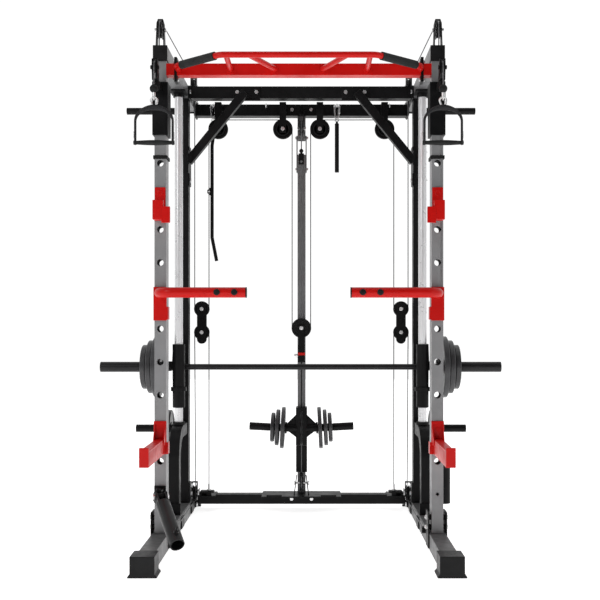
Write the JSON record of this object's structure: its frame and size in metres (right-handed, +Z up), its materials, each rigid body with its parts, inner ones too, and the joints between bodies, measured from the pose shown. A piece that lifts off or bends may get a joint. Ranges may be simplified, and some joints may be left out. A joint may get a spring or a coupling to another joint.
{
  "type": "smith machine",
  "caption": "Smith machine with guided bar, front rack attachments, pull-up bar, cable crossover trolleys and a plate-loaded pulley mast.",
  "frame": {"origin": "on the floor under the middle of the machine's box", "axes": "+X to the machine's right seen from the front, -Y towards the front where the user comes in, +Z up"},
  "size_m": [1.96, 1.424, 2.294],
  "materials": {
    "base_rails": "dark grey powder coat",
    "end_caps": "moulded black plastic",
    "front_uprights": "grey metallic paint",
    "rear_uprights": "black powder coat",
    "top_side_beams": "grey metallic paint",
    "crossbeams": "black powder coat",
    "rear_mast": "grey metallic paint",
    "pull_up_bar": "gloss red paint",
    "grips_and_stops": "matte rubber",
    "guide_rods": "polished",
    "rod_supports": "black powder coat",
    "joint_plates": "black powder coat",
    "frame_bolts": "zinc plated",
    "storage_pegs": "black powder coat",
    "storage_plates": "grey hammertone enamel",
    "pulley_brackets": "black powder coat",
    "cable_runs": "coated steel cable",
    "cable_falls": "coated steel cable",
    "smith_sliders": "black powder coat",
    "smith_bar": "black oxide",
    "bar_plates": "grey hammertone enamel",
    "carriage_plates": "grey hammertone enamel",
    "weight_carriage": "black powder coat",
    "selector_pin": "zinc plated",
    "floating_wheel": "moulded nylon",
    "lat_wheel": "moulded nylon",
    "low_row_wheel": "moulded nylon",
    "front_top_wheels": "moulded nylon",
    "rear_top_wheels": "moulded nylon",
    "low_side_wheels": "moulded nylon",
    "landmine_yoke": "black powder coat",
    "landmine_sleeve": "black powder coat",
    "lat_bar": "black powder coat",
    "short_bar": "black powder coat",
    "left_trolley": "black powder coat",
    "left_trolley_pin": "black knob on steel pin",
    "left_swivel_yoke": "black powder coat",
    "left_handle": "black strap and rubber grip",
    "left_j_hook": "gloss red paint",
    "left_spotter_arm": "gloss red paint",
    "left_dip_handle": "gloss red paint",
    "left_pulley_block": "black powder coat",
    "left_swivel_wheel": "moulded nylon",
    "left_centre_wheel": "moulded nylon",
    "left_outer_wheel": "moulded nylon",
    "left_block_high_wheel": "moulded nylon",
    "left_block_low_wheel": "moulded nylon",
    "right_trolley": "black powder coat",
    "right_trolley_pin": "black knob on steel pin",
    "right_swivel_yoke": "black powder coat",
    "right_handle": "black strap and rubber grip",
    "right_j_hook": "gloss red paint",
    "right_spotter_arm": "gloss red paint",
    "right_dip_handle": "gloss red paint",
    "right_pulley_block": "black powder coat",
    "right_swivel_wheel": "moulded nylon",
    "right_centre_wheel": "moulded nylon",
    "right_outer_wheel": "moulded nylon",
    "right_block_high_wheel": "moulded nylon",
    "right_block_low_wheel": "moulded nylon"
  },
  "bodies": {
    "frame": {"base_rails": "base_rails", "end_caps": "end_caps", "front_uprights": "front_uprights", "rear_uprights": "rear_uprights", "top_side_beams": "top_side_beams", "crossbeams": "crossbeams", "rear_mast": "rear_mast", "pull_up_bar": "pull_up_bar", "grips_and_stops": "grips_and_stops", "guide_rods": "guide_rods", "rod_supports": "rod_supports", "joint_plates": "joint_plates", "frame_bolts": "frame_bolts", "storage_pegs": "storage_pegs", "storage_plates": "storage_plates", "pulley_brackets": "pulley_brackets", "cable_runs": "cable_runs", "cable_falls": "cable_falls"},
    "smith_carriage": {"smith_sliders": "smith_sliders"},
    "smith_bar": {"smith_bar": "smith_bar", "bar_plates": "bar_plates"},
    "weight_carriage": {"weight_carriage": "weight_carriage", "carriage_plates": "carriage_plates"},
    "selector_pin": {"selector_pin": "selector_pin"},
    "floating_wheel": {"floating_wheel": "floating_wheel"},
    "lat_wheel": {"lat_wheel": "lat_wheel"},
    "low_row_wheel": {"low_row_wheel": "low_row_wheel"},
    "front_top_wheels": {"front_top_wheels": "front_top_wheels"},
    "rear_top_wheels": {"rear_top_wheels": "rear_top_wheels"},
    "low_side_wheels": {"low_side_wheels": "low_side_wheels"},
    "landmine_yoke": {"landmine_yoke": "landmine_yoke"},
    "landmine_sleeve": {"landmine_sleeve": "landmine_sleeve"},
    "lat_bar": {"lat_bar": "lat_bar"},
    "short_bar": {"short_bar": "short_bar"},
    "left_trolley": {"left_trolley": "left_trolley"},
    "left_trolley_pin": {"left_trolley_pin": "left_trolley_pin"},
    "left_swivel_yoke": {"left_swivel_yoke": "left_swivel_yoke"},
    "left_handle": {"left_handle": "left_handle"},
    "left_j_hook": {"left_j_hook": "left_j_hook"},
    "left_spotter_arm": {"left_spotter_arm": "left_spotter_arm"},
    "left_dip_handle": {"left_dip_handle": "left_dip_handle"},
    "left_pulley_block": {"left_pulley_block": "left_pulley_block"},
    "left_swivel_wheel": {"left_swivel_wheel": "left_swivel_wheel"},
    "left_centre_wheel": {"left_centre_wheel": "left_centre_wheel"},
    "left_outer_wheel": {"left_outer_wheel": "left_outer_wheel"},
    "left_block_high_wheel": {"left_block_high_wheel": "left_block_high_wheel"},
    "left_block_low_wheel": {"left_block_low_wheel": "left_block_low_wheel"},
    "right_trolley": {"right_trolley": "right_trolley"},
    "right_trolley_pin": {"right_trolley_pin": "right_trolley_pin"},
    "right_swivel_yoke": {"right_swivel_yoke": "right_swivel_yoke"},
    "right_handle": {"right_handle": "right_handle"},
    "right_j_hook": {"right_j_hook": "right_j_hook"},
    "right_spotter_arm": {"right_spotter_arm": "right_spotter_arm"},
    "right_dip_handle": {"right_dip_handle": "right_dip_handle"},
    "right_pulley_block": {"right_pulley_block": "right_pulley_block"},
    "right_swivel_wheel": {"right_swivel_wheel": "right_swivel_wheel"},
    "right_centre_wheel": {"right_centre_wheel": "right_centre_wheel"},
    "right_outer_wheel": {"right_outer_wheel": "right_outer_wheel"},
    "right_block_high_wheel": {"right_block_high_wheel": "right_block_high_wheel"},
    "right_block_low_wheel": {"right_block_low_wheel": "right_block_low_wheel"}
  },
  "joints": [
    {"name": "smith_travel", "type": "slide", "parent": "frame", "child": "smith_carriage", "axis": [0, 0, 1], "range_m": [0, 1.132]},
    {"name": "smith_turn", "type": "hinge", "parent": "smith_carriage", "child": "smith_bar", "pos_m": [0, 0.304, 0.76], "axis": [1, 0, 0], "range_deg": [-56, 0]},
    {"name": "weight_travel", "type": "slide", "parent": "frame", "child": "weight_carriage", "axis": [0, 0, 1], "range_m": [0, 0.8], "deforming": ["cable_falls"]},
    {"name": "selector_pull", "type": "slide", "parent": "weight_carriage", "child": "selector_pin", "axis": [-1, 0, 0], "range_m": [0, 0.01], "stiffness_N_per_m": 300, "springref_m": -0.003},
    {"name": "floating_wheel_spin", "type": "hinge", "parent": "weight_carriage", "child": "floating_wheel", "pos_m": [0, 0.567, 0.949], "axis": [0, 1, 0], "continuous": true},
    {"name": "lat_wheel_spin", "type": "hinge", "parent": "frame", "child": "lat_wheel", "pos_m": [0, 0.576, 1.985], "axis": [1, 0, 0], "continuous": true},
    {"name": "low_row_wheel_spin", "type": "hinge", "parent": "frame", "child": "low_row_wheel", "pos_m": [0, 0.576, 0.145], "axis": [1, 0, 0], "continuous": true},
    {"name": "front_top_wheels_spin", "type": "hinge", "parent": "frame", "child": "front_top_wheels", "pos_m": [0, -0.212, 2.248], "axis": [1, 0, 0], "continuous": true},
    {"name": "rear_top_wheels_spin", "type": "hinge", "parent": "frame", "child": "rear_top_wheels", "pos_m": [0, 0.53, 2.19], "axis": [1, 0, 0], "continuous": true},
    {"name": "low_side_wheels_spin", "type": "hinge", "parent": "frame", "child": "low_side_wheels", "pos_m": [0, 0.53, 0.1], "axis": [1, 0, 0], "continuous": true},
    {"name": "left_trolley_travel", "type": "slide", "parent": "frame", "child": "left_trolley", "axis": [0, 0, 1], "range_m": [-0.08, 0.02]},
    {"name": "left_trolley_pin_pull", "type": "slide", "parent": "left_trolley", "child": "left_trolley_pin", "axis": [0, 1, 0], "range_m": [0, 0.01], "stiffness_N_per_m": 300, "springref_m": -0.003},
    {"name": "left_swivel", "type": "hinge", "parent": "left_trolley", "child": "left_swivel_yoke", "pos_m": [-0.602, -0.333, 1.99], "axis": [0, 0, 1], "range_deg": [-45, 45]},
    {"name": "left_swivel_wheel_spin", "type": "hinge", "parent": "left_swivel_yoke", "child": "left_swivel_wheel", "pos_m": [-0.602, -0.358, 2.046], "axis": [1, 0, 0], "continuous": true},
    {"name": "left_handle_swing", "type": "hinge", "parent": "left_swivel_yoke", "child": "left_handle", "pos_m": [-0.602, -0.383, 1.95], "axis": [1, 0, 0], "range_deg": [-60, 5]},
    {"name": "left_j_hook_pull", "type": "slide", "parent": "frame", "child": "left_j_hook", "axis": [0, -1, 0], "range_m": [0, 0.08]},
    {"name": "left_spotter_arm_pull", "type": "slide", "parent": "frame", "child": "left_spotter_arm", "axis": [0, -1, 0], "range_m": [0, 0.08]},
    {"name": "left_dip_handle_pull", "type": "slide", "parent": "frame", "child": "left_dip_handle", "axis": [0, -1, 0], "range_m": [0, 0.08]},
    {"name": "left_pulley_block_travel", "type": "slide", "parent": "frame", "child": "left_pulley_block", "axis": [0, 0, 1], "range_m": [-0.02, 0.05]},
    {"name": "left_centre_wheel_spin", "type": "hinge", "parent": "frame", "child": "left_centre_wheel", "pos_m": [-0.096, 0.567, 1.98], "axis": [0, 1, 0], "continuous": true},
    {"name": "left_outer_wheel_spin", "type": "hinge", "parent": "frame", "child": "left_outer_wheel", "pos_m": [-0.431, 0.567, 1.98], "axis": [0, 1, 0], "continuous": true},
    {"name": "left_block_high_wheel_spin", "type": "hinge", "parent": "left_pulley_block", "child": "left_block_high_wheel", "pos_m": [-0.516, 0.567, 1.048], "axis": [0, 1, 0], "continuous": true},
    {"name": "left_block_low_wheel_spin", "type": "hinge", "parent": "left_pulley_block", "child": "left_block_low_wheel", "pos_m": [-0.516, 0.567, 0.927], "axis": [0, 1, 0], "continuous": true},
    {"name": "right_trolley_travel", "type": "slide", "parent": "frame", "child": "right_trolley", "axis": [0, 0, 1], "range_m": [-0.08, 0.02]},
    {"name": "right_trolley_pin_pull", "type": "slide", "parent": "right_trolley", "child": "right_trolley_pin", "axis": [0, 1, 0], "range_m": [0, 0.01], "stiffness_N_per_m": 300, "springref_m": -0.003},
    {"name": "right_swivel", "type": "hinge", "parent": "right_trolley", "child": "right_swivel_yoke", "pos_m": [0.602, -0.333, 1.99], "axis": [0, 0, 1], "range_deg": [-45, 45]},
    {"name": "right_swivel_wheel_spin", "type": "hinge", "parent": "right_swivel_yoke", "child": "right_swivel_wheel", "pos_m": [0.602, -0.358, 2.046], "axis": [1, 0, 0], "continuous": true},
    {"name": "right_handle_swing", "type": "hinge", "parent": "right_swivel_yoke", "child": "right_handle", "pos_m": [0.602, -0.383, 1.95], "axis": [1, 0, 0], "range_deg": [-60, 5]},
    {"name": "right_j_hook_pull", "type": "slide", "parent": "frame", "child": "right_j_hook", "axis": [0, -1, 0], "range_m": [0, 0.08]},
    {"name": "right_spotter_arm_pull", "type": "slide", "parent": "frame", "child": "right_spotter_arm", "axis": [0, -1, 0], "range_m": [0, 0.08]},
    {"name": "right_dip_handle_pull", "type": "slide", "parent": "frame", "child": "right_dip_handle", "axis": [0, -1, 0], "range_m": [0, 0.08]},
    {"name": "right_pulley_block_travel", "type": "slide", "parent": "frame", "child": "right_pulley_block", "axis": [0, 0, 1], "range_m": [-0.02, 0.05]},
    {"name": "right_centre_wheel_spin", "type": "hinge", "parent": "frame", "child": "right_centre_wheel", "pos_m": [0.096, 0.567, 1.98], "axis": [0, 1, 0], "continuous": true},
    {"name": "right_outer_wheel_spin", "type": "hinge", "parent": "frame", "child": "right_outer_wheel", "pos_m": [0.431, 0.567, 1.98], "axis": [0, 1, 0], "continuous": true},
    {"name": "right_block_high_wheel_spin", "type": "hinge", "parent": "right_pulley_block", "child": "right_block_high_wheel", "pos_m": [0.516, 0.567, 1.048], "axis": [0, 1, 0], "continuous": true},
    {"name": "right_block_low_wheel_spin", "type": "hinge", "parent": "right_pulley_block", "child": "right_block_low_wheel", "pos_m": [0.516, 0.567, 0.927], "axis": [0, 1, 0], "continuous": true},
    {"name": "landmine_yaw", "type": "hinge", "parent": "frame", "child": "landmine_yoke", "pos_m": [-0.592, -0.335, 0.246], "axis": [0, 0, 1], "range_deg": [-10, 40]},
    {"name": "landmine_pitch", "type": "hinge", "parent": "landmine_yoke", "child": "landmine_sleeve", "pos_m": [-0.57763, -0.36581, 0.246], "axis": [0.9063, 0.4226, 0], "range_deg": [-75, 0]},
    {"name": "lat_bar_swing", "type": "hinge", "parent": "frame", "child": "lat_bar", "pos_m": [-0.46, 0.603, 2.1088], "axis": [1, 0, 0], "range_deg": [-3, 15]},
    {"name": "short_bar_swing", "type": "hinge", "parent": "frame", "child": "short_bar", "pos_m": [0.185, 0.603, 2.1088], "axis": [1, 0, 0], "range_deg": [-10, 15]}
  ],
  "couplings": [
    {"joint": "left_pulley_block_travel", "follows": "left_trolley_travel", "ratio": -0.5},
    {"joint": "left_centre_wheel_spin", "follows": "weight_travel", "rad_per_m": -20.833},
    {"joint": "left_outer_wheel_spin", "follows": "weight_travel", "rad_per_m": -20.833},
    {"joint": "left_block_high_wheel_spin", "follows": "left_trolley_travel", "rad_per_m": -13.514},
    {"joint": "left_block_low_wheel_spin", "follows": "left_trolley_travel", "rad_per_m": -13.514},
    {"joint": "right_pulley_block_travel", "follows": "right_trolley_travel", "ratio": -0.5},
    {"joint": "right_centre_wheel_spin", "follows": "weight_travel", "rad_per_m": 20.833},
    {"joint": "right_outer_wheel_spin", "follows": "weight_travel", "rad_per_m": 20.833},
    {"joint": "right_block_high_wheel_spin", "follows": "right_trolley_travel", "rad_per_m": 13.514},
    {"joint": "right_block_low_wheel_spin", "follows": "right_trolley_travel", "rad_per_m": 13.514}
  ]
}
